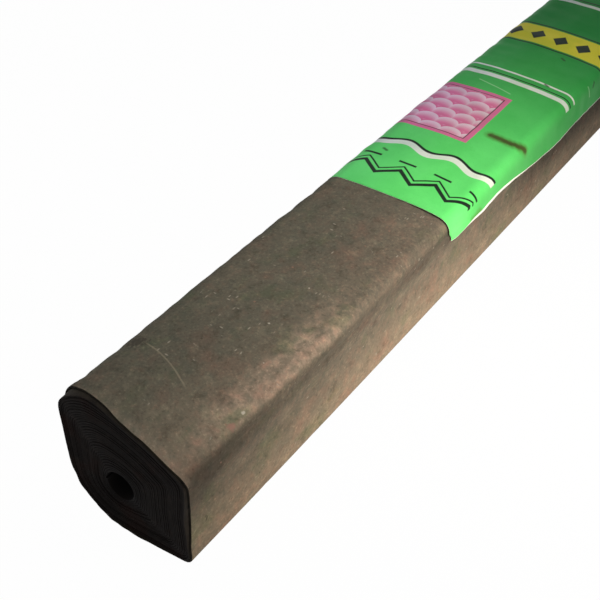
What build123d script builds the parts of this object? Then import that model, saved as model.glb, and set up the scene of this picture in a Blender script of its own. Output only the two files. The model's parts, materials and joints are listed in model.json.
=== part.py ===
from build123d import *
import os

# Main sizes of the roll, in millimetres
roll_length = 1000.0
roll_width = 91.0
end_height = 100.0
mid_height = 92.5
ridge_reach = 16.0
settle_length = 200.0
felt_thick = 0.9

# Bore left by the winding bar, its centre from the foot of the seen side as shares of the seen end
bore_radius = 10.0
bore_centre_shares = (0.55, 0.36)

# Corner order: foot, back foot, under the free edge, over it, back top, ridge, waist
# Seen end, as shares of its width and height, roundings and bows as shares of the lesser
end_corner_shares = [(-0.0145, 0), (0.96, 0), (1, 0.407), (1, 0.407), (1, 1.0), (-0.02, 0.68), (0, 0.39)]
end_radius_shares = [0.06, 0.4, 0, 0, 0.22, 0.11, 0.3]
end_bow_shares = [0, 0.004, 0, 0.01, 0.09, 0.006, 0.004]

# Middle and far end, pinched out into the ridge, as shares of their own width and height
mid_corner_shares = [(0.13, 0), (1, 0), (1, 0.44), (1, 0.44), (1, 1.0), (-0.03, 0.91), (0.1, 0.5)]
mid_radius_shares = [0.08, 0.35, 0, 0, 0.135, 0.128, 0.35]
mid_bow_shares = [0, 0.005, 0, 0.014, 0.041, -0.035, 0.023]

# Foot of the seen side in each section, so that both stand on one line
end_foot_share = 0.005
mid_foot_share = 0.15

# Edges of the bands of turns on the ends, from outside in, and how far each band is set back
band_shares = [0.93, 0.86, 0.8, 0.73, 0.65, 0.58, 0.5, 0.42]
band_set_backs = [1.5, 0.4, 1.9, 0.9, 2.2, 0.7, 1.3]
outer_turn_set_back = 4.0

# Blend from the seen end to the middle
station_shares = [0, 0.25, 0.5, 0.75, 1]

# Paper label over the ridge, the top and the back, its long edges as shares of the height
label_start = 286.0
label_length = 454.0
label_ridge_share = 0.74
label_back_share = 0.48
paper_thick = 0.25
paste_gap = 0.1

# Clearance past a surface for a cut
overrun = 5.0


def corners_of(width, height, corner_shares, foot_share, lap):
    """Corner points across and up from the foot line, the web's free edge stepped in by lap."""
    points = [Vector((a - foot_share) * width, u * height) for a, u in corner_shares]
    for low in (1, 2):
        points[low] = points[low] - Vector(lap, 0)
    return points


def outline_of(points, radii, bows):
    """Face of a closed outline of bowed sides with rounded corners."""
    sides = []
    for i, start in enumerate(points):
        stop = points[(i + 1) % len(points)]
        run = stop - start
        middle = (start + stop) / 2 + Vector(run.Y, -run.X).normalized() * bows[i]
        sides.append(ThreePointArc(start, middle, stop) if bows[i] else Line(start, stop))
    face = make_face(sides)
    for point, radius in zip(points, radii):
        if radius:
            face = fillet(face.vertices().sort_by_distance(point)[0], radius)
    return face


mid_width = roll_width + ridge_reach
end_points = corners_of(roll_width, end_height, end_corner_shares, end_foot_share, felt_thick)
mid_points = corners_of(mid_width, mid_height, mid_corner_shares, mid_foot_share, felt_thick)
end_least, mid_least = min(roll_width, end_height), min(mid_width, mid_height)
end_radii = [share * end_least for share in end_radius_shares]
mid_radii = [share * mid_least for share in mid_radius_shares]
end_bows = [share * end_least for share in end_bow_shares]
mid_bows = [share * mid_least for share in mid_bow_shares]
bore_centre = Vector(bore_centre_shares[0] * roll_width, bore_centre_shares[1] * end_height)


def section_at(blend, size_share=1):
    """Section between the seen end and the middle, drawn in towards the bore by size_share."""
    mixed = [a + (b - a) * blend for a, b in zip(end_points, mid_points)]
    points = [bore_centre + (p - bore_centre) * size_share for p in mixed]
    radii = [(a + (b - a) * blend) * size_share for a, b in zip(end_radii, mid_radii)]
    bows = [(a + (b - a) * blend) * size_share for a, b in zip(end_bows, mid_bows)]
    return outline_of(points, radii, bows)


def grown_section(growth):
    """Section of the ridged length with every side moved out by growth."""
    points = []
    for i, point in enumerate(mid_points):
        before = (point - mid_points[i - 1]).normalized()
        after = (mid_points[(i + 1) % len(mid_points)] - point).normalized()
        out_a, out_b = Vector(before.Y, -before.X), Vector(after.Y, -after.X)
        points.append(point + (out_a + out_b) * (growth / (1 + out_a.dot(out_b))))
    return outline_of(points, [r + growth if r else r for r in mid_radii], mid_bows)


# Felt roll: settled seen end lofted into the even, ridged length
stations = []
for share in station_shares:
    blend = 1 - (1 - share) ** 2
    stations.append(Plane.YZ.offset(share * settle_length) * section_at(blend))
seen_length = loft(stations)
ridged_length = extrude(Plane.YZ.offset(settle_length) * section_at(1), roll_length - settle_length)
felt_roll = seen_length + ridged_length

# Turns on both ends, the outermost one short of the rest
reach = roll_width / 2
skin_share = 1 - felt_thick / reach
clear_share = 1 + overrun / reach
for blend, plane, inward in ((0, Plane.YZ, 1), (1, Plane.YZ.offset(roll_length), -1)):
    skin = section_at(blend, clear_share) - section_at(blend, skin_share)
    felt_roll -= extrude(plane * skin, outer_turn_set_back * inward)
    for outer, inner, set_back in zip(band_shares, band_shares[1:], band_set_backs):
        band = section_at(blend, outer) - section_at(blend, inner)
        felt_roll -= extrude(plane * band, set_back * inward)
bore_plane = Plane.YZ.offset(-overrun)
felt_roll -= extrude(bore_plane * Pos(bore_centre) * Circle(bore_radius), roll_length + 2 * overrun)

# Paper label: a sheet just clear of the ridged length, trimmed at the ridge and low on the back
under_paper = grown_section(paste_gap)
over_paper = grown_section(paste_gap + paper_thick)
trim_height = mid_height + overrun
ridge_trim = Pos(bore_centre.X, label_ridge_share * mid_height)
ridge_trim *= Rectangle(mid_width, trim_height, align=(Align.MAX, Align.MIN))
back_trim = Pos(bore_centre.X, label_back_share * mid_height)
back_trim *= Rectangle(mid_width, trim_height, align=(Align.MIN, Align.MIN))
sheet = (over_paper - under_paper) & (ridge_trim + back_trim)
paper_label = extrude(Plane.YZ.offset(label_start) * sheet, label_length)

# Origin at the middle of the underside
box = Compound(children=[Part(felt_roll.wrapped), Part(paper_label.wrapped)]).bounding_box()
to_origin = Pos(-box.center().X, -box.center().Y, -box.min.Z)
os.makedirs("parts", exist_ok=True)
export_step(to_origin * felt_roll, "parts/felt_roll.step")
export_step(to_origin * paper_label, "parts/paper_label.step")
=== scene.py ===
import json
import math

import bmesh
import bpy
import numpy as np
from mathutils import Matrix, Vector, noise
from mathutils.bvhtree import BVHTree


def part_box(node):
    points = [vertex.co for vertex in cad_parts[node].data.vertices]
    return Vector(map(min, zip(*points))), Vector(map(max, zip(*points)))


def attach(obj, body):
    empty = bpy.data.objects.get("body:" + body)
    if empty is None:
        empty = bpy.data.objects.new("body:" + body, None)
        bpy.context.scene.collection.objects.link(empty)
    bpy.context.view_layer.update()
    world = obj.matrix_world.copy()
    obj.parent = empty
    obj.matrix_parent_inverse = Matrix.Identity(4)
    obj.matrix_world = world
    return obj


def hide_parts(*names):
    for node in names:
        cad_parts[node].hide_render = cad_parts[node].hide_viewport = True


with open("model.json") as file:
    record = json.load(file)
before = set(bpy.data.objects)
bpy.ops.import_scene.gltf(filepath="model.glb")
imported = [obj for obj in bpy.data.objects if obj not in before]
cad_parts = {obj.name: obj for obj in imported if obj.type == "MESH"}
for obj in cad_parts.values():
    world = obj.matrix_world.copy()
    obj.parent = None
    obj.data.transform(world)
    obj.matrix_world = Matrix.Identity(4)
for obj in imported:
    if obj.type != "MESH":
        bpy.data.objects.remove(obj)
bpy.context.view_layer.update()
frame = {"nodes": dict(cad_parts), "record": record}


# Wound felt: one web of bitumen felt rolled up on a bar, then squashed in storage until it
# lies flat underneath and has a pinched ridge along its seen side. The web runs as one spiral
# from the bore out to the free edge low on the back, and its cut edges show on both ends.
bore_mount = next(m for m in frame["record"]["mounts"] if m["name"] == "core_bore")
bore_y, bore_z = bore_mount["pos_m"][1:]
bore_radius = bore_mount["dims"]["r_mm"] / 1000
roll_low, roll_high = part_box("felt_roll")
roll_length = roll_high.x - roll_low.x
depsgraph = bpy.context.evaluated_depsgraph_get()
roll_skin = BVHTree.FromObject(frame["nodes"]["felt_roll"], depsgraph)
FULL_TURN = 2 * math.pi
RAY = 0.2
SKIN_MARGIN = 0.006


def out_from_bore(angle):
    """Direction out from the bore's axis, at an angle above the back."""
    return Vector((0, math.cos(angle), math.sin(angle)))


def reach(x, angle):
    """Distance from the bore's axis out to the CAD skin at x, read clear of the stepped ends."""
    x = min(max(x, roll_low.x + SKIN_MARGIN), roll_high.x - SKIN_MARGIN)
    axis, out = Vector((x, bore_y, bore_z)), out_from_bore(angle)
    return (roll_skin.ray_cast(axis + out * RAY, -out)[0] - axis).length


# The free edge is where the skin steps out, low on the back
EDGE_CLEAR = 0.004
low_back = np.radians(np.linspace(-25, 15, 801))
steps = np.diff([reach(0.0, angle) for angle in low_back])
free_edge = low_back[int(np.argmax(steps))] + (low_back[1] - low_back[0]) / 2


def skin_reach(x, angle):
    """Distance out to the skin within one wind, read just clear of the free edge's step."""
    return reach(x, min(max(angle, free_edge + EDGE_CLEAR - FULL_TURN), free_edge - EDGE_CLEAR))


# Columns run from under the free edge, down, round the seen side and over the top, evenly spaced
COLUMNS, FINE_COLUMNS = 156, 1441
turn = np.linspace(free_edge, free_edge - FULL_TURN, FINE_COLUMNS)
reaches = np.array([skin_reach(0.0, angle) for angle in turn])
outline = np.stack([reaches * np.cos(turn), reaches * np.sin(turn)], 1)
run = np.concatenate([[0], np.cumsum(np.hypot(*np.diff(outline, axis=0).T))])
angles = np.interp(np.linspace(0, run[-1], COLUMNS + 1), run, turn)
around = np.linspace(0, 1, COLUMNS + 1)

# Each turn's cut edge has four rows: the gap before it, then its rounded lip, in metres sunk
step_height = reaches[-1] - reaches[0]
TURNS = int((reaches[0] - bore_radius) / step_height)
EDGE_PROFILE = (0.00055, 0.00012, 0.0, 0.00010)
ROWS_A_TURN = len(EDGE_PROFILE)
LONE_GAP_SHARE = 0.4


def bell(value, centre, width):
    return math.exp(-(((value - centre) / width) ** 2))


def ease(value, low, high):
    """0 at low, 1 at high, with a smooth run between."""
    share = min(max((value - low) / (high - low), 0.0), 1.0)
    return share * share * (3 - 2 * share)


def lumps(x, y, z, along, around_roll, offset):
    """Smooth noise from -1 to 1, with so many lumps a metre along the roll and around it."""
    return noise.noise(Vector((x * along, y * around_roll, z * around_roll)) + Vector(offset))


# Waves of the web: long and short ones, and nicks that are deepest on the back's top edge
SLOW_LUMPS, SLOW_HEIGHT = (5.0, 9.0, (0, 0, 0)), 0.0010
QUICK_LUMPS, QUICK_HEIGHT = (16.0, 24.0, (0, 7, 0)), 0.00035
NICK_LUMPS, NICK_HEIGHT, BACK_NICK_HEIGHT = (105.0, 40.0, (0, 0, 3)), 0.0003, 0.0004
BACK_EDGE_UP, BACK_EDGE_ACROSS = (0.094, 0.012), (0.022, 0.034)
FLAT_FOOT = (0.003, 0.018)

# The back's top corner stands up at the seen end, and the top beside it has sagged
CORNER_RISE, RISE_BEARING, RISE_RUN = 0.0026, (48, 9), (0.0, 0.016)
CORNER_SAG, SAG_BEARING, SAG_RUN = 0.0018, (66, 14), (0.06, 0.14)

# The ridge comes down towards the seen end, and the fold lies a finger's width under it
RIDGE_HEIGHT, RIDGE_FALL, FALL_LENGTH = 0.0846, 0.0098, 0.060
FOLD_BELOW, FOLD_DEPTH, FOLD_WIDTH = 0.0115, 0.0028, 0.0055
LIP_RISE, LIP_WIDTH, LIP_WEAR, LIP_WEAR_RUN = 0.0007, 0.0035, 0.7, (0.11, 0.24)
PINCH_ACROSS, PINCH_RUN = (-0.025, -0.036), (0.005, 0.040)


def bump_of(x, y, z):
    """Dents and waves of the squashed web and the fold under its ridge, in metres out."""
    from_end = x - roll_low.x
    bearing = math.degrees(math.atan2(z - bore_z, y - bore_y))
    nick_height = NICK_HEIGHT + BACK_NICK_HEIGHT * bell(z, *BACK_EDGE_UP) * ease(y, *BACK_EDGE_ACROSS)
    waves = SLOW_HEIGHT * lumps(x, y, z, *SLOW_LUMPS) + QUICK_HEIGHT * lumps(x, y, z, *QUICK_LUMPS)
    waves += nick_height * lumps(x, y, z, *NICK_LUMPS)
    rise = CORNER_RISE * bell(bearing, *RISE_BEARING) * (1 - ease(from_end, *RISE_RUN))
    sag = CORNER_SAG * bell(bearing, *SAG_BEARING) * (1 - ease(from_end, *SAG_RUN))
    ridge = RIDGE_HEIGHT - RIDGE_FALL * math.exp(-from_end / FALL_LENGTH)
    fold = FOLD_DEPTH * bell(z, ridge - FOLD_BELOW, FOLD_WIDTH)
    lip = LIP_RISE * bell(z, ridge, LIP_WIDTH) * (1 - LIP_WEAR * ease(from_end, *LIP_WEAR_RUN))
    pinched = ease(y, *PINCH_ACROSS) * ease(from_end, *PINCH_RUN)
    return ease(z, *FLAT_FOOT) * waves + rise - sag + pinched * (lip - fold)


def skin_at(x):
    """Distance out to the finished skin at x for every column."""
    found = []
    for angle in angles:
        out = skin_reach(x, angle)
        y, z = bore_y + out * math.cos(angle), bore_z + out * math.sin(angle)
        found.append(out + bump_of(x, y, z))
    return np.array(found)


# Set back of the outermost turn: all round, torn a little, and by amount, bearing and width
SET_BACK, TORN, TEARS, TEAR_SEED = 0.0010, 0.0007, 5.0, 4.0
SET_BACK_PLACES = ((0.0052, 68, 22), (0.0055, 50, 12), (0.0036, 177, 25), (-0.0021, 255, 35))

# Set back of the other turns: drifting and rippling, and fanned out under the outermost one
TURN_DEPTH, TURN_DRIFT, TURN_RIPPLE = 0.0011, 0.0013, 0.0006
DRIFT_RATE, RIPPLE_RATE, RIPPLE_SEED = 0.23, 1.9, 5.0
FAN, FAN_BEARING, FAN_TURNS = 0.0040, (72, 18), (-5.0, 0.0)
EVEN_TURNS, LAST_TURN = (0.5, 3.5), (-1.0, -0.94)


def outer_set_back(angle):
    """How far the outermost turn stops short of an end, most at the back's top corner."""
    bearing = math.degrees(angle) % 360
    tear = noise.noise(Vector((TEARS * math.cos(angle), TEARS * math.sin(angle), TEAR_SEED)))
    placed = sum(amount * bell(bearing, centre, width) for amount, centre, width in SET_BACK_PLACES)
    return SET_BACK + placed + TORN * tear


def turn_level(winds, seed):
    """How far the web's edge lies in from the end, after so many winds from the bore."""
    drift = noise.noise(Vector((winds * DRIFT_RATE, seed, 0.0)))
    ripple = noise.noise(Vector((winds * RIPPLE_RATE, seed + RIPPLE_SEED, 0.0)))
    return TURN_DEPTH + TURN_DRIFT * drift + TURN_RIPPLE * ripple


def level_at(wind, column, seed):
    """Set back of turn number wind at a column, the outermost turn drawn back further."""
    level = max(turn_level(wind + around[column], seed), 0.0)
    out = wind + around[column] - TURNS
    bearing = math.degrees(angles[column]) % 360
    fanned = FAN * bell(bearing, *FAN_BEARING) * ease(out, *FAN_TURNS) ** 2
    drawn_back = ease(out, *LAST_TURN)
    inner = level * ease(-out, *EVEN_TURNS) + fanned * (1 - drawn_back)
    return inner + outer_set_back(angles[column]) * drawn_back


# Rows go out over the seen end, along the outside, in over the far end and back down the bore
BODY_ROWS, BORE_ROWS = 280, 10
WOUND_ROWS = TURNS * ROWS_A_TURN
wound_rows = np.arange(0, WOUND_ROWS + 1)
rows = [("seen", w) for w in wound_rows]
rows += [("side", s) for s in np.linspace(0, 1, BODY_ROWS + 2)[1:-1]]
rows += [("far", w) for w in wound_rows[::-1]]
rows += [("bore", s) for s in np.linspace(1, 0, BORE_ROWS + 2)[1:-1]]
rows.append(rows[0])

# Each end's place, its way in and the seed of its turns
ends = {"seen": (roll_low.x, 1, 2.0), "far": (roll_high.x, -1, 31.0)}
end_skin, end_bore = {}, {}
for end in ends:
    end_skin[end] = skin_at(ends[end][0])
    step = end_skin[end][-1] - end_skin[end][0]
    end_bore[end] = end_skin[end][0] - TURNS * step + step * around


def end_point(end, wound_row, column):
    """Place along the roll and distance out for a row of an end, each turn's edge rounded."""
    end_x, inward, seed = ends[end]
    wind, part = divmod(int(wound_row), ROWS_A_TURN)
    first, last = end_bore[end][column], end_skin[end][column]
    if part:
        level = level_at(wind, column, seed) + EDGE_PROFILE[part]
    else:
        beside = [w for w in (wind - 1, wind) if 0 <= w < TURNS]
        level = max(level_at(w, column, seed) for w in beside)
        level += EDGE_PROFILE[0] * (1.0 if len(beside) == 2 else LONE_GAP_SHARE)
    return end_x + inward * level, first + (last - first) * (wound_row / WOUND_ROWS)


CROWDING, SHIFT_LENGTH = 0.04, 0.03


def side_shift(x, end, column):
    """How far a row of the outside gives way to the set back of the outermost turn near an end."""
    end_x = ends[end][0]
    shift = end_point(end, WOUND_ROWS, column)[0] - end_x
    return shift * max(1 - abs(x - end_x) / SHIFT_LENGTH, 0.0)


# The wound attribute runs from 0 at the bore to 1 at the skin
bm = bmesh.new()
ROW_COUNT, COLUMN_COUNT = len(rows) - 1, COLUMNS + 1
bmesh.ops.create_grid(bm, x_segments=ROW_COUNT, y_segments=COLUMN_COUNT, size=1.0)
wound = bm.verts.layers.float.new("wound")
grid_place, body_skin = {}, {}
for vert in bm.verts:
    row = round((vert.co.x + 1) / 2 * ROW_COUNT)
    column = round((vert.co.y + 1) / 2 * COLUMN_COUNT)
    grid_place[vert] = (row, column)
for vert, (row, column) in grid_place.items():
    kind, value = rows[row]
    # The last column comes back to the first one's depth and makes the step of the free edge
    here = 0 if column == COLUMN_COUNT else column
    vert[wound] = value / WOUND_ROWS if kind in ends else float(kind == "side")
    if kind in ends:
        x, out = end_point(kind, value, here)
    elif kind == "side":
        even = roll_low.x + roll_length * (value - CROWDING * math.sin(FULL_TURN * value))
        x = even + side_shift(even, "seen", here) + side_shift(even, "far", here)
        if row not in body_skin:
            body_skin[row] = skin_at(even)
        out = body_skin[row][here]
    else:
        start, stop = end_point("seen", 0, here)[0], end_point("far", 0, here)[0]
        first, last = end_bore["seen"][here], end_bore["far"][here]
        x = start + (stop - start) * value
        out = first + (last - first) * value
    vert.co = (x, bore_y + out * math.cos(angles[here]), bore_z + out * math.sin(angles[here]))


def kinds_of(face):
    """The kinds of row that a face lies between."""
    return {rows[grid_place[vert][0]][0] for vert in face.verts}


# Cut edges and bore take the second finish; the seam's faces on the ends go, and small holes close
MERGE, WEDGE_SIDES, SHARP = 0.00002, ROWS_A_TURN + 4, math.radians(42)
end_faces = [f for f in bm.faces if kinds_of(f) <= set(ends)]
bore_faces = [f for f in bm.faces if "bore" in kinds_of(f)]
for face in end_faces + bore_faces:
    face.material_index = 1
seam_faces = [f for f in end_faces if all(grid_place[v][1] >= COLUMNS for v in f.verts)]
bmesh.ops.delete(bm, geom=seam_faces, context="FACES")
bmesh.ops.remove_doubles(bm, verts=bm.verts[:], dist=MERGE)
bmesh.ops.holes_fill(bm, edges=[e for e in bm.edges if e.is_boundary], sides=WEDGE_SIDES)
bmesh.ops.recalc_face_normals(bm, faces=bm.faces[:])
for face in bm.faces:
    face.smooth = True
for edge in bm.edges:
    edge.smooth = edge.calc_face_angle(0.0) < SHARP
felt_skin = BVHTree.FromBMesh(bm)


def add_object(name, made):
    """Object at the origin that takes over a finished bmesh."""
    mesh = bpy.data.meshes.new(name)
    made.to_mesh(mesh)
    made.free()
    added = bpy.data.objects.new(name, mesh)
    bpy.context.scene.collection.objects.link(added)
    return added


felt = add_object("wound_felt", bm)
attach(felt, "root")
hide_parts("felt_roll")


class Shade:
    """A shader value: sums and products of it add Math nodes, and node() adds any other."""

    def __init__(self, tree, socket):
        self.tree, self.socket = tree, socket

    def node(self, kind, settings=None, inputs=None, out=0):
        """A node of any kind, with its settings set first, then its inputs set or linked."""
        made = self.tree.nodes.new("ShaderNode" + kind)
        for name, value in (settings or {}).items():
            setattr(made, name, value)
        for name, value in (inputs or {}).items():
            if isinstance(value, Shade):
                self.tree.links.new(value.socket, made.inputs[name])
            else:
                made.inputs[name].default_value = value
        return Shade(self.tree, made.outputs[out])

    def calculate(self, operation, *values):
        return self.node("Math", {"operation": operation}, dict(enumerate(values)))

    def math(self, operation, *others):
        """A Math node on this value, and on others after it."""
        return self.calculate(operation, self, *others)

    def __add__(self, other):
        return self.calculate("ADD", self, other)

    def __sub__(self, other):
        return self.calculate("SUBTRACT", self, other)

    def __rsub__(self, other):
        return self.calculate("SUBTRACT", other, self)

    def __mul__(self, other):
        return self.calculate("MULTIPLY", self, other)

    def __truediv__(self, other):
        return self.calculate("DIVIDE", self, other)

    def __rtruediv__(self, other):
        return self.calculate("DIVIDE", other, self)

    __radd__, __rmul__ = __add__, __mul__

    def within(self, low, high):
        """0 below low, 1 above high, eased between them, or the other way round."""
        settings = {"interpolation_type": "SMOOTHSTEP"}
        if low < high:
            return self.node("MapRange", settings, {"Value": self, "From Min": low, "From Max": high})
        inputs = {"Value": self, "From Min": high, "From Max": low, "To Min": 1.0, "To Max": 0.0}
        return self.node("MapRange", settings, inputs)

    def mix(self, under, over, blend="MIX"):
        """Colour over laid on colour under, by this value."""
        settings = {"data_type": "RGBA", "blend_type": blend}
        under, over = (c if isinstance(c, Shade) else (*c, 1.0) for c in (under, over))
        return self.node("Mix", settings, {0: self, 6: under, 7: over}, 2)

    def axes(self):
        """The three parts of this vector."""
        parts = self.node("SeparateXYZ", {}, {"Vector": self}).socket.node.outputs
        return [Shade(self.tree, part) for part in parts]

    def clouds(self, scale, detail=4.0, rough=0.55, stretch=None):
        """Soft noise from 0 to 1 over this place, at so many lumps a metre."""
        where = self.node("Mapping", {}, {"Vector": self, "Scale": stretch}) if stretch else self
        inputs = {"Vector": where, "Scale": scale, "Detail": detail, "Roughness": rough}
        return self.node("TexNoise", {}, inputs)

    def specks(self, scale):
        """Distance to the nearest of scattered points, in cells, and a random number for each."""
        near = self.node("TexVoronoi", {}, {"Vector": self, "Scale": scale})
        pick = Shade(self.tree, near.socket.node.outputs["Color"])
        return near, self.node("SeparateColor", {}, {"Color": pick})

    def bump(self, strength, distance):
        """Normal of a surface whose relief is this value, from 0 to 1 over a distance."""
        return self.node("Bump", {}, {"Strength": strength, "Distance": distance, "Height": self})


def new_finish(name, roughness, specular=0.5):
    """Material, its surface node, and a first Shade on its object coordinates."""
    finish = bpy.data.materials.new(name)
    finish.use_nodes = True
    tree = finish.node_tree
    surface = tree.nodes["Principled BSDF"]
    surface.inputs["Roughness"].default_value = roughness
    surface.inputs["Specular IOR Level"].default_value = specular
    coordinates = tree.nodes.new("ShaderNodeTexCoord")
    return finish, surface, Shade(tree, coordinates.outputs["Object"])


def feed(surface, name, shade):
    shade.tree.links.new(shade.socket, surface.inputs[name])


# Felt finish: matt brown-grey web, tanner on the seen side with dust and painted light, with fibres and
# flecks
felt_finish, surface, where = new_finish("bitumen_felt", 0.88, 0.15)
along, across, height = where.axes()
from_end = along - roll_low.x
broad = where.clouds(11.0, 4.0, 0.6)
hue = where.clouds(42.0, 3.0, 0.6, stretch=(0.7, 1.0, 1.0))
mottle = where.clouds(95.0, 5.0, 0.66)
tone = where.clouds(170.0, 3.0, 0.6)
grain = where.clouds(520.0, 3.0, 0.62)

# Height over the ridge with a ragged line, and the strips of the seen side that it bounds
RAGGED = 0.005
ridge_fall = RIDGE_FALL * (from_end * (-1 / FALL_LENGTH)).math("EXPONENT")
over_ridge = height + (mottle - 0.5) * RAGGED - RIDGE_HEIGHT + ridge_fall
seen_side = across.within(-0.022, -0.034)
flank = seen_side * over_ridge.within(-0.003, -0.012)
crest = seen_side * over_ridge.within(-0.006, -0.001) * over_ridge.within(0.0075, 0.0005)
broad_crest = seen_side * over_ridge.within(-0.010, -0.002) * over_ridge.within(0.008, 0.002)
fold = seen_side * over_ridge.within(-0.032, -0.013) * over_ridge.within(-0.002, -0.008)

# Dust and painted light over the whole web first, then wear and painted highlight along the ridge, then
# painted shade in the fold and by the end
WEB, LIT_DUSTY_WEB, LIT_TOP_DUST, PAINTED_FLOOR_BOUNCE = (
    (0.098, 0.091, 0.069), (0.160, 0.130, 0.097), (0.205, 0.172, 0.126), (0.262, 0.203, 0.142))
RUBBED_HIGHLIGHT, PAINTED_RIDGE_SHADE, FRAYED_HIGHLIGHT = (0.270, 0.208, 0.155), (0.078, 0.065, 0.049), (0.225, 0.190, 0.145)
FOLD_SHADE, END_SHADE = (0.062, 0.051, 0.038), (0.058, 0.048, 0.036)
LABEL_SHADOW, BACK_EDGE_DARK = (0.040, 0.033, 0.026), (0.040, 0.036, 0.030)
# Dust in broad patches, and painted light that makes the web lighter towards the seen side
dust_and_lit_side = across.within(0.012, -0.046) * 0.55 + broad.within(0.35, 0.68) * 0.25
# Dust and painted light: the top beside the ridge lighter near the seen end
top_dust_and_light = across.within(0.005, -0.035) * height.within(0.070, 0.078) * from_end.within(0.13, 0.03)
# Painted light: the flank lighter towards its foot, as if lit from the white floor
low_flank = flank * height.within(0.056, 0.004)
# Wear and a painted highlight: the crest of the ridge lighter, most between 5 and 12 cm from the seen end
rubbed_and_highlit = crest * (0.20 + 0.80 * from_end.within(0.010, 0.05) * from_end.within(0.19, 0.12))
# Painted shade in the fold under the ridge, stronger at the seen end and far from it
fold_shade = fold * (0.40 + 0.25 * from_end.within(0.19, 0.25) + 0.35 * from_end.within(0.10, 0.02))
# Pale frayed fibres and a painted highlight along the top edge at the seen end
frayed_and_highlit = from_end.within(0.012, 0.004) * mottle.within(0.40, 0.58) * height.within(0.060, 0.070)
# Painted shade on the flank near the seen end, strongest high up
end_shade = flank * from_end.within(0.045, 0.004) * (0.10 + 0.45 * height.within(0.030, 0.050))
# Painted shadow and shade: the flank under the label darker from 13 cm short of the middle on to the far
# end
under_label = flank * height.within(0.015, 0.050) * along.within(-0.13, 0.0)
# Darker in ragged patches along the back's top edge
back_edge = across.within(0.0430, 0.0475) * height.within(0.074, 0.086) * mottle.within(0.62, 0.42)
colour = dust_and_lit_side.mix(WEB, LIT_DUSTY_WEB)
for shown, tint in (
        (top_dust_and_light * 0.40, LIT_TOP_DUST), (low_flank * 0.85, PAINTED_FLOOR_BOUNCE),
        (rubbed_and_highlit * (0.65 + 0.65 * tone.within(0.40, 0.60)), RUBBED_HIGHLIGHT),
        # Painted shade on the ridge beyond 12 to 24 cm from the seen end
        (broad_crest * from_end.within(0.12, 0.24) * 0.35, PAINTED_RIDGE_SHADE),
        (fold_shade, FOLD_SHADE), (frayed_and_highlit * 0.45, FRAYED_HIGHLIGHT), (end_shade, END_SHADE),
        (under_label * 0.80, LABEL_SHADOW), (back_edge * 0.70, BACK_EDGE_DARK)):
    colour = shown.mix(colour, tint)

# Uneven colour of the pressed rag and bitumen, from hand-sized blotches down to single fibres
UNEVEN = 0.9
for cloud, low, high, tint in (
        (hue, 0.52, 0.70, (1.10, 0.96, 0.96)), (hue, 0.48, 0.30, (0.84, 0.97, 0.86)),
        (tone, 0.52, 0.67, (1.16, 1.05, 1.04)), (tone, 0.48, 0.33, (0.84, 0.90, 0.91)),
        (mottle, 0.52, 0.72, (0.66, 0.66, 0.65)), (mottle, 0.48, 0.30, (1.32, 1.31, 1.27)),
        (grain, 0.52, 0.78, (1.58, 1.56, 1.50)), (grain, 0.48, 0.24, (0.66, 0.66, 0.66))):
    colour = (cloud.within(low, high) * UNEVEN).mix(colour, tint, "MULTIPLY")

# Flecks pressed into the web: pale grit, clumps of fibres along and around, red rag and tar.
# Each kind has its cells a metre, stretch, share of empty cells, size in cells, place and colour.
FLECK_STRENGTH, FLECK_OUTER, FLECK_INNER = 0.65, 1.6, 0.7
ROUND_FLECK, LONG_FIBRE, CROSS_FIBRE = (1.0, 1.0, 1.0), (0.35, 1.0, 1.0), (1.0, 0.40, 0.40)
clumped = where.clouds(46.0, 3.0, 0.6).within(0.52, 0.60)
for cells, stretch, empty, size, patchy, fleck in (
        (140.0, ROUND_FLECK, 0.955, 0.07, 1.0, (0.50, 0.45, 0.37)),
        (300.0, LONG_FIBRE, 0.60, 0.13, clumped, (0.34, 0.30, 0.24)),
        (300.0, CROSS_FIBRE, 0.60, 0.13, clumped, (0.35, 0.31, 0.25)),
        (160.0, ROUND_FLECK, 0.955, 0.10, 1.0, (0.27, 0.15, 0.11)),
        (120.0, ROUND_FLECK, 0.945, 0.08, 1.0, (0.040, 0.034, 0.027))):
    apart = (cells * 0.01, 0.3, empty)
    placed = where.node("Mapping", {}, {"Vector": where, "Scale": stretch, "Location": apart})
    near, pick = placed.specks(cells)
    shown = near.within(size * FLECK_OUTER, size * FLECK_INNER) * pick.math("GREATER_THAN", empty)
    colour = (shown * patchy * FLECK_STRENGTH).mix(colour, fleck)

# Single marks on the seen length: chips of pale grit, a bruise of red rag and tar spots
CHIP, RAG, TAR = (0.58, 0.53, 0.45), (0.33, 0.17, 0.14), (0.045, 0.038, 0.030)
MARK_STRENGTH, MARK_RAGGED, MARK_OUTER, MARK_INNER = 0.70, 2.4, 1.4, 0.4
for spot, size, ink in (
        ((-0.4434, -0.0410, 0.0800), 0.0011, CHIP), ((-0.3845, -0.0425, 0.0349), 0.0010, CHIP),
        ((-0.3794, -0.0140, 0.0900), 0.0010, CHIP), ((-0.4551, -0.0415, 0.0785), 0.0026, RAG),
        ((-0.3923, -0.0425, 0.0545), 0.0013, TAR), ((-0.3434, -0.0425, 0.0203), 0.0013, TAR),
        ((-0.4166, -0.0420, 0.0259), 0.0011, TAR), ((-0.4606, -0.0415, 0.0233), 0.0012, TAR),
        ((-0.4826, -0.0410, 0.0265), 0.0016, TAR), ((-0.4416, 0.0400, 0.0940), 0.0060, TAR)):
    off = where.node("VectorMath", {"operation": "DISTANCE"}, {0: where, 1: spot}, 1)
    mark = (off + (grain - 0.5) * (size * MARK_RAGGED)).within(size * MARK_OUTER, size * MARK_INNER)
    colour = (mark * MARK_STRENGTH).mix(colour, ink)

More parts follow.
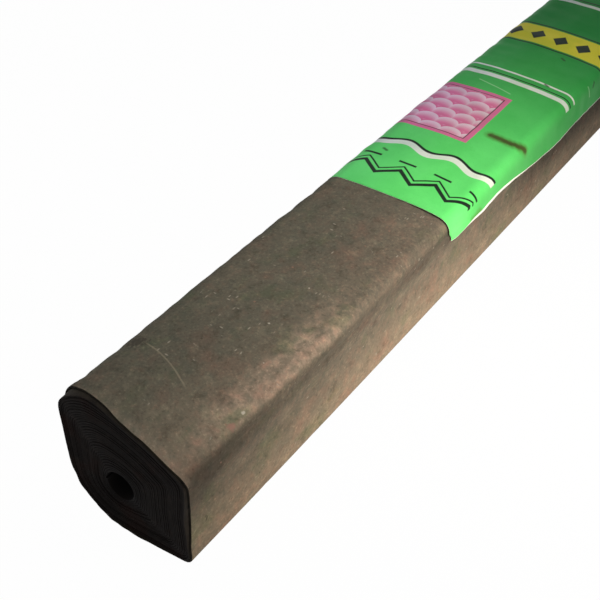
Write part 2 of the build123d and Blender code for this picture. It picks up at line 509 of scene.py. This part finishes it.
# A faint pale scratch that bends across the top, near the seen end
PALE, SCRATCH_STRENGTH, SCRATCH_RAGGED = (0.29, 0.25, 0.18), 0.42, 0.0014
SCRATCH_ALONG, SCRATCH_ACROSS, SCRATCH_SLANT, SCRATCH_BEND = -0.4412, 0.0256, 0.206, 5.35
run_in = across - SCRATCH_ACROSS
off = along - SCRATCH_ALONG - SCRATCH_SLANT * run_in + SCRATCH_BEND * run_in * run_in
off = (off + (mottle - 0.5) * SCRATCH_RAGGED).math("ABSOLUTE")
scratch = off.within(0.0009, 0.0002) * height.within(0.070, 0.075)
scratch = scratch * across.within(-0.010, -0.003) * across.within(0.037, 0.030)
colour = (scratch * SCRATCH_STRENGTH).mix(colour, PALE)
feed(surface, "Base Color", colour)
feed(surface, "Normal", (grain * 0.5 + mottle * 0.5).bump(0.4, 0.0005))
felt.data.materials.append(felt_finish)

# Cut edges: black bitumen darkened further as painted shade, blackest round the bore, with dust on the
# turns that stand proud
SHADED_BITUMEN, BORE_BLACK = (0.0050, 0.0036, 0.0031), (0.0026, 0.0020, 0.0018)
BITUMEN_DUST, BITUMEN_RED = (0.0165, 0.0125, 0.0105), (0.0165, 0.0070, 0.0050)
OUTER_DUST_AND_HIGHLIGHT = (0.027, 0.022, 0.016)
edge_finish, surface, where = new_finish("cut_edge", 0.85, 0.13)
dust = where.clouds(160.0, 4.0, 0.6)
reddish = where.clouds(45.0, 2.0, 0.5)
wound_share = where.node("Attribute", {"attribute_name": "wound"}, out=2)
# Black bitumen, darker still as painted shade on the ends, with dust in patches
colour = dust.within(0.45, 0.8).mix(SHADED_BITUMEN, BITUMEN_DUST)
colour = (reddish.within(0.5, 0.75) * 0.6).mix(colour, BITUMEN_RED)
colour = (wound_share.within(0.30, 0.0) * 0.85).mix(colour, BORE_BLACK)
# Dust and a painted highlight on the outermost turn's edge
outermost = wound_share.within(0.955, 0.968) * dust.within(0.20, 0.55)
colour = (outermost * 0.9).mix(colour, OUTER_DUST_AND_HIGHLIGHT)
feed(surface, "Base Color", colour)
felt.data.materials.append(edge_finish)


# Paper label: one thin sheet, printed on its outside and pasted over the roll's top and back.
# It is cut square, a little skew and lifted at its front edge. The long edge along the ridge
# hangs past the fold and stands off it, and for a hand's width it shows a bare white margin.
label_low, label_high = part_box("paper_label")
sheet_length = label_high.x - label_low.x
label_skin = BVHTree.FromObject(frame["nodes"]["paper_label"], depsgraph)
label_middle = Vector(((label_low.x + label_high.x) / 2, bore_y, bore_z))


def is_covered(angle):
    """Whether the CAD sheet lies over the roll at an angle."""
    out = out_from_bore(angle)
    return label_skin.ray_cast(label_middle + out * RAY, -out, RAY)[0] is not None


covered = [angle for angle in np.radians(np.linspace(-10, 200, 2101)) if is_covered(angle)]
back_angle, ridge_angle = covered[0], covered[-1]
LABEL_LONG, LABEL_ROUND, PATH_POINTS = 180, 120, 281
PAST_RIDGE_EDGE = 0.14


def felt_hit(x, angle):
    """Place and normal of the wound felt's skin at x and an angle."""
    out = out_from_bore(angle)
    return felt_skin.ray_cast(Vector((x, bore_y, bore_z)) + out * RAY, -out)[:2]


def felt_path(x):
    """Points and normals over the felt at x, from below the ridge to the back, and their run."""
    hits = [felt_hit(x, a) for a in np.linspace(ridge_angle + PAST_RIDGE_EDGE, back_angle, PATH_POINTS)]
    line, facing = np.array([hit for hit, normal in hits]), np.array([normal for hit, normal in hits])
    run = np.concatenate([[0], np.cumsum(np.linalg.norm(np.diff(line[:, 1:], axis=0), axis=1))])
    ridge_edge = np.array(felt_hit(x, ridge_angle)[0])
    run -= run[int(np.argmin(np.linalg.norm(line - ridge_edge, axis=1)))]
    return line, facing, run


def sheet_point(path, at):
    """Place and outward direction on the felt at a run from the CAD sheet's ridge edge."""
    line, facing, run = path
    place = Vector([np.interp(at, run, line[:, i]) for i in range(3)])
    return place, Vector([np.interp(at, run, facing[:, i]) for i in range(3)]).normalized()


# Ridge edge: low at the front corner, then drawn up, then hanging and standing off the fold
LOW_CORNER, LOW_ALONG = 0.0055, (0.014, 0.016)
HIGH_EDGE, HIGH_ALONG = 0.0026, (0.078, 0.036)
OVERHANG, OVERHANG_RUN = 0.0060, (0.100, 0.210)
CLOSE_SHARE, LOOSENS, FAR_SHARE, TIGHTENS = 0.15, (0.015, 0.055), 0.35, (0.16, 0.24)
HINGE, HINGE_STEP = 0.0125, 0.002

# Sheet: paste and paper, its ripples and puckers, its lifted front edge and its skew corner
PASTE, SHEET = 0.00015, 0.00022
RIPPLE_LUMPS, PUCKER_LUMPS = (24.0, 34.0, (0, 0, 0)), (9.0, 70.0, (3, 0, 0))
LOOSE_HEIGHT, RIPPLE_HEIGHT, PUCKER_HEIGHT = 0.0004, 0.0004, 0.0003
LOOSE_ROUND, LOOSE_ALONG = (0.0, 0.02), (0.0, 0.03)
LIFT, LIFT_ALONG, LIFT_STARTS, LIFT_ENDS = 0.0013, (0.0, 0.012), (0.0, 0.010), (0.070, 0.030)
CORNER_SKEW, SKEW_ROUND, SKEW_ALONG = 0.0095, (-0.001, 0.012), (0.0, 0.08)


def edge_run(along):
    """Where the ridge edge lies from the CAD sheet's, at a length along the sheet."""
    low = LOW_CORNER * bell(along, *LOW_ALONG)
    high = HIGH_EDGE * bell(along, *HIGH_ALONG)
    return high - low - OVERHANG * ease(along, *OVERHANG_RUN)


def stands_off(along):
    """How far the hanging edge stands off the fold, from 0, pasted down, to 1, quite straight."""
    loose = ease(along, *LOOSENS) * (1 - FAR_SHARE * ease(along, *TIGHTENS))
    return CLOSE_SHARE + (1 - CLOSE_SHARE) * loose


bm = bmesh.new()
bmesh.ops.create_grid(bm, x_segments=LABEL_LONG, y_segments=LABEL_ROUND, size=1.0)
sheet_layer = bm.loops.layers.uv.new("sheet")
edge_layer = bm.loops.layers.uv.new("edge")
sheet_place, paths = {}, {}
for vert in bm.verts:
    long_share, round_share = (vert.co.x + 1) / 2, (vert.co.y + 1) / 2
    if long_share not in paths:
        paths[long_share] = felt_path(label_low.x + sheet_length * long_share)
    path = paths[long_share]
    along = sheet_length * long_share
    first, last = edge_run(along), path[2][-1]
    at = first + (last - first) * round_share
    point, facing = sheet_point(path, at)
    if at < HINGE:
        hinge = sheet_point(path, HINGE)[0]
        before = sheet_point(path, HINGE + HINGE_STEP)[0]
        straight = hinge + (hinge - before).normalized() * (HINGE - at)
        point = point.lerp(straight, stands_off(along))
    waves = RIPPLE_HEIGHT * lumps(*point, *RIPPLE_LUMPS) + PUCKER_HEIGHT * lumps(*point, *PUCKER_LUMPS)
    loose = ease(at, *LOOSE_ROUND) * ease(along, *LOOSE_ALONG)
    lifted = LIFT * (1 - ease(along, *LIFT_ALONG)) * ease(at, *LIFT_STARTS) * ease(at, *LIFT_ENDS)
    point = point + facing * (PASTE + lifted + (LOOSE_HEIGHT + waves) * loose)
    point.x += CORNER_SKEW * (1 - ease(at, *SKEW_ROUND)) * (1 - ease(along, *SKEW_ALONG))
    vert.co = point
    sheet_place[vert] = (along, at, first)
for face in bm.faces:
    face.smooth = True
    for loop in face.loops:
        along, at, first = sheet_place[loop.vert]
        loop[sheet_layer].uv = (along, at)
        loop[edge_layer].uv = (along, at - first)
bmesh.ops.recalc_face_normals(bm, faces=bm.faces[:])
top_face = max(bm.faces, key=lambda f: f.calc_center_median().z)
if top_face.normal.z < 0:
    bmesh.ops.reverse_faces(bm, faces=bm.faces[:])
label = add_object("printed_label", bm)
thick = label.modifiers.new("sheet", "SOLIDIFY")
thick.thickness = SHEET
thick.offset = 1.0
thick.material_offset = thick.material_offset_rim = 1
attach(label, "root")
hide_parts("paper_label")

# Print: green ground, painted light near the front and painted shade deeper towards the far end, read in
# metres along the sheet and round it
INK_BLACK, INK_WHITE, INK_PINK = (0.012, 0.022, 0.014), (0.78, 0.82, 0.74), (0.70, 0.17, 0.33)
INK_PALE, INK_YELLOW = (0.80, 0.58, 0.68), (0.72, 0.66, 0.05)
LIT_GREEN_NEAR, SHADED_GREEN_FAR = (0.150, 0.790, 0.190), (0.008, 0.220, 0.036)
PRINT_BLUR = 0.0004
print_finish, surface, where = new_finish("green_print", 0.42, 0.05)
along, girth = where.node("UVMap", {"uv_map": "sheet"}).axes()[:2]


def between(value, low, high):
    past_low = value.within(low - PRINT_BLUR, low + PRINT_BLUR)
    return past_low * value.within(high + PRINT_BLUR, high - PRINT_BLUR)


def fold_up(value, period):
    """Distance to the nearest multiple of period, as a zigzag."""
    return value.math("PINGPONG", period / 2)


field = between(girth, 0.013, 0.146)
# Painted light and shade: the ground bright at the front and deeper towards the far end
colour = along.within(-0.02, 0.37).mix(LIT_GREEN_NEAR, SHADED_GREEN_FAR)

# A row of gables, each two strokes of a rafter's slope over a short tie
GABLE_WIDE, GABLE_SLOPE = 0.030, 0.8
slope = along - GABLE_SLOPE * fold_up(girth, GABLE_WIDE)
gables = between(slope, 0.0190, 0.0232) + between(slope, 0.0262, 0.0282)
ties = between(along, 0.0432, 0.0456) * fold_up(girth + GABLE_WIDE / 2, GABLE_WIDE).within(0.0078, 0.0070)
colour = ((gables + ties).math("MINIMUM", 1.0) * field).mix(colour, INK_BLACK)

# A white wave with a black shade on its far side
WAVE_RISE, WAVE_LENGTH = 0.0035, 0.040
wave = along - WAVE_RISE * (girth * (FULL_TURN / WAVE_LENGTH)).math("SINE")
colour = (between(wave, 0.0660, 0.0735) * field).mix(colour, INK_BLACK)
colour = (between(wave, 0.0640, 0.0705) * field).mix(colour, INK_WHITE)

# A panel of round-ended tiles in a pink frame with a thin black rule inside it
PANEL_ALONG, PANEL_ROUND = (0.098, 0.182), (0.054, 0.130)
FRAME_WIDE, RULE_WIDE = 0.0044, 0.0008
TILE_LONG, TILE_WIDE, TILE_ROUND, TILE_DROOP = 0.0125, 0.018, 0.96, 0.55


def panel(inset):
    """1 inside the panel, its edges drawn in by inset."""
    inside_along = between(along, PANEL_ALONG[0] + inset, PANEL_ALONG[1] - inset)
    return inside_along * between(girth, PANEL_ROUND[0] + inset, PANEL_ROUND[1] - inset)


course = (along / TILE_LONG).math("FLOOR")
stagger = course.math("MODULO", 2.0) * (TILE_WIDE / 2)
tile_across = fold_up(girth + stagger, TILE_WIDE) / (TILE_WIDE / 2)
rounding = (1 - tile_across * tile_across * TILE_ROUND).math("SQRT")
tile_end = along / TILE_LONG - course + TILE_DROOP * (1 - rounding)
tile = tile_end.math("FRACT").within(0.05, 1.0)
colour = panel(0.0).mix(colour, INK_PINK)
colour = panel(FRAME_WIDE).mix(colour, INK_BLACK)
colour = panel(FRAME_WIDE + RULE_WIDE).mix(colour, tile.mix(INK_PINK, INK_PALE))

# White and black rules, then a yellow band of black lozenges
LOZENGE_WIDE, LOZENGE_SLOPE, LOZENGE_ALONG = 0.022, 0.75, 0.308
for low, high, ink in (
        (0.2080, 0.2140, INK_WHITE), (0.2165, 0.2180, INK_BLACK), (0.2240, 0.2265, INK_WHITE),
        (0.2900, 0.3260, INK_YELLOW), (0.2860, 0.2880, INK_BLACK), (0.3280, 0.3300, INK_BLACK),
        (0.3900, 0.3960, INK_WHITE), (0.4000, 0.4020, INK_BLACK)):
    colour = (between(along, low, high) * field).mix(colour, ink)
lozenge = fold_up(girth, LOZENGE_WIDE) + LOZENGE_SLOPE * (along - LOZENGE_ALONG).math("ABSOLUTE")
colour = (lozenge.within(0.0078, 0.0070) * field).mix(colour, INK_BLACK)

# Wear: uneven ink and a darker strip along the ridge edge; painted shade makes the back darker; all over
# the whole print
ink_cloud = where.clouds(26.0, 4.0, 0.6)
speckle = where.clouds(900.0, 2.0, 0.6)
ridge_edge_dark = girth.within(0.022, 0.006) * along.within(0.010, 0.050) * along.within(0.30, 0.12)
for shown, tint in (
        (ink_cloud.within(0.35, 0.7) * 0.9, (0.80, 0.90, 0.82)), (ridge_edge_dark * 0.9, (0.72, 0.66, 0.70)),
        # Painted shade: the back of the label darker
        (girth.within(0.050, 0.110) * 0.8, (0.78, 0.78, 0.96)),
        (speckle.within(0.55, 0.80) * 0.8, (0.82, 0.86, 0.82))):
    colour = shown.mix(colour, tint, "MULTIPLY")
STROKE_INNER = 0.4
ragged = where.clouds(260.0, 3.0) - 0.5


def stroke(start, stop, width, fade):
    """1 on a soft stroke between two points of the sheet, 0 beyond fade past its width."""
    reach_along, reach_round = stop[0] - start[0], stop[1] - start[1]
    length = math.hypot(reach_along, reach_round)
    ahead = ((along - start[0]) * reach_along + (girth - start[1]) * reach_round) / (length * length)
    ahead = ahead.node("Clamp", {}, {"Value": ahead})
    off_along = along - start[0] - ahead * reach_along
    off_round = girth - start[1] - ahead * reach_round
    off = (off_along * off_along + off_round * off_round).math("SQRT")
    return (off + ragged * width).within(width + fade, width * STROKE_INNER)


# A brown smear with a soft edge that runs down over the ridge, and a smudge at the front corner
SMEAR_EDGE, SMEAR_HEART = (0.075, 0.210, 0.030), (0.048, 0.034, 0.010)
SMEAR_PATH = ((0.1217, 0.0440), (0.1225, 0.0265), (0.1243, 0.0210), (0.1285, 0.0158))
for width, fade, strength, ink in ((0.0036, 0.0040, 0.75, SMEAR_EDGE), (0.0022, 0.0020, 0.85, SMEAR_HEART)):
    smear = stroke(SMEAR_PATH[0], SMEAR_PATH[1], width, fade)
    for start, stop in zip(SMEAR_PATH[1:], SMEAR_PATH[2:]):
        smear = smear.math("MAXIMUM", stroke(start, stop, width, fade))
    colour = (smear * strength).mix(colour, ink)
smudge = stroke((0.034, 0.0010), (0.046, 0.0040), 0.0018, 0.0030)
colour = (smudge * 0.6).mix(colour, SMEAR_EDGE)

# Dark scuffs, then pale creases
SCUFF, CREASE = (0.020, 0.045, 0.020), (0.42, 0.72, 0.42)
for start, stop in (
        ((0.2660, 0.0125), (0.2690, 0.0150)), ((0.2765, 0.0490), (0.2785, 0.0520)),
        ((0.2240, 0.0410), (0.2255, 0.0440)), ((0.0520, 0.0980), (0.0535, 0.1010))):
    colour = (stroke(start, stop, 0.0009, 0.0012) * 0.8).mix(colour, SCUFF)
for start, stop in (
        ((0.2560, 0.0160), (0.2590, 0.0060)), ((0.1900, 0.0600), (0.1980, 0.0920)),
        ((0.0300, 0.1300), (0.0860, 0.1380))):
    colour = (stroke(start, stop, 0.0004, 0.0007) * 0.5).mix(colour, CREASE)

# A bare margin along the ridge edge, wide for a hand's width and then only a thread
MARGIN, THREAD, EXTRA_MARGIN = (0.84, 0.84, 0.80), 0.0004, 0.0014
margin = THREAD + EXTRA_MARGIN * along.within(0.022, 0.040) * along.within(0.140, 0.090)
from_edge = where.node("UVMap", {"uv_map": "edge"}).axes()[1]
colour = (from_edge - margin).within(0.0003, -0.0002).mix(colour, MARGIN)
feed(surface, "Base Color", colour)
feed(surface, "Roughness", 0.36 + 0.22 * ink_cloud)
cockle = where.clouds(55.0, 3.0, 0.5, stretch=(0.5, 1.0, 1.0))
feed(surface, "Normal", (cockle * 0.8 + speckle * 0.06).bump(0.35, 0.0012))
label.data.materials.append(print_finish)

# The sheet's pasted side and its cut edges are bare paper
PAPER_DARK, PAPER_PALE = (0.74, 0.73, 0.66), (0.84, 0.83, 0.77)
paper_finish, surface, where = new_finish("bare_paper", 0.8)
feed(surface, "Base Color", where.clouds(90.0).mix(PAPER_DARK, PAPER_PALE))
label.data.materials.append(paper_finish)


# Stage: a plain white floor that keeps a soft shadow, one broad lamp on the seen side and one
# above, an even pale surround, and the camera at the photograph's place.
WHITE = (1.0, 1.0, 1.0, 1.0)
FLOOR_HALF, FLOOR_DROP, FLOOR_GLOW = 6.0, 0.0004, 0.985
bm = bmesh.new()
bmesh.ops.create_grid(bm, x_segments=1, y_segments=1, size=FLOOR_HALF)
floor = add_object("floor", bm)
floor.location.z = -FLOOR_DROP
floor_finish, surface, where = new_finish("pale_floor", 0.9)
surface.inputs["Base Color"].default_value = (0.80, 0.80, 0.79, 1.0)


def shown_white(tree):
    """1 where the eye, a reflection or a clear body looks straight at the surface."""
    paths = Shade(tree, None).node("LightPath").socket.node.outputs
    seen, mirrored, through = (
        Shade(tree, paths[name]) for name in ("Is Camera Ray", "Is Glossy Ray", "Is Transmission Ray"))
    return seen.math("MAXIMUM", mirrored.math("MAXIMUM", through))


tree = floor_finish.node_tree
white = shown_white(tree)
glow = white.node("Emission", {}, {"Color": WHITE, "Strength": 1.0})
lit = Shade(tree, surface.outputs[0])
mixed = white.node("MixShader", {}, {0: white * FLOOR_GLOW, 1: lit, 2: glow})
feed(tree.nodes["Material Output"], "Surface", mixed)
floor.data.materials.append(floor_finish)


def add_turned(name, data, place, heading):
    """Lamp or camera at a place, looking along a heading."""
    added = bpy.data.objects.new(name, data)
    added.location = place
    added.rotation_mode = "QUATERNION"
    added.rotation_quaternion = heading.to_track_quat("-Z", "Y")
    bpy.context.scene.collection.objects.link(added)
    return added


def lamp(name, size, watts, spread, place, target, colour):
    """Square soft lamp that points at target and isn't seen itself."""
    data = bpy.data.lights.new(name, "AREA")
    data.size = size
    data.energy = watts
    data.color = colour
    data.spread = math.radians(spread)
    added = add_turned(name, data, place, Vector(target) - Vector(place))
    added.visible_camera = False


lamp("side_lamp", 0.3, 0.68, 86, (-0.24, -0.42, 0.17), (-0.24, 0.0, 0.02), (1.0, 0.90, 0.79))
lamp("top_lamp", 0.5, 0.92, 105, (-0.26, -0.05, 0.75), (-0.26, 0.0, 0.0), (1.0, 0.99, 0.93))

AMBIENT = 0.19
world = bpy.data.worlds.new("surround")
world.use_nodes = True
sky = world.node_tree.nodes["Background"]
sky.inputs["Color"].default_value = WHITE
feed(sky, "Strength", shown_white(world.node_tree) * (1 - AMBIENT) + AMBIENT)
bpy.context.scene.world = world

FOCAL_PIXELS, IMAGE_PIXELS, SENSOR = 1100.0, 600.0, 36.0
CAMERA_PLACE, BEARING, TILT = (-0.8046, -0.3264, 0.5259), math.radians(55.79), math.radians(38.31)
camera_data = bpy.data.cameras.new("camera")
camera_data.sensor_width = SENSOR
camera_data.lens = FOCAL_PIXELS / IMAGE_PIXELS * SENSOR
level = math.cos(TILT)
ahead = Vector((math.sin(BEARING) * level, math.cos(BEARING) * level, -math.sin(TILT)))
bpy.context.scene.camera = add_turned("camera", camera_data, CAMERA_PLACE, ahead)
bpy.context.scene.view_settings.view_transform = "Standard"
